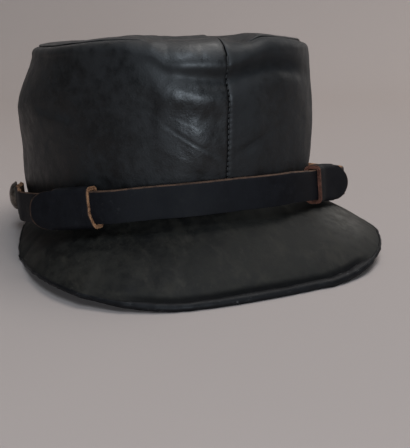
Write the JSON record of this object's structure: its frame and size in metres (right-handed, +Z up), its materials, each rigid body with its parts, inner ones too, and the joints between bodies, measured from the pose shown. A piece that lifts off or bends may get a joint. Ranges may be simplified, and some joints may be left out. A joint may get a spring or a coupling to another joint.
{
  "type": "kepi cap",
  "caption": "Black leather kepi with a tall flat-topped crown, a short steep visor with a bound edge, and a sliding leather chin strap across the front held by side buttons.",
  "frame": {"origin": "on the floor, under the middle of the cap's outline", "axes": "+Z up from the surface that the cap rests on, the visor towards -Y, +X the wearer's left"},
  "size_m": [0.1926, 0.2532, 0.116],
  "materials": {
    "crown_leather": "black smooth leather, satin, softly creased and worn to a shine on the folds",
    "visor_leather": "black-brown stiff leather, dull satin, scuffed",
    "binding_leather": "thin black leather binding, glossy on its fold",
    "strap_leather": "blue-black strap leather with raw tan edges",
    "button_metal": "plated brass button, dull grey and tarnished at its rim"
  },
  "bodies": {
    "root": {"crown_panel_left": "crown_leather", "crown_panel_right": "crown_leather", "crown_top": "crown_leather", "visor": "visor_leather", "visor_binding": "binding_leather", "strap_outer": "strap_leather", "strap_inner": "strap_leather", "slide_left": "strap_leather", "slide_right": "strap_leather", "button_left": "button_metal", "button_right": "button_metal"}
  },
  "joints": []
}
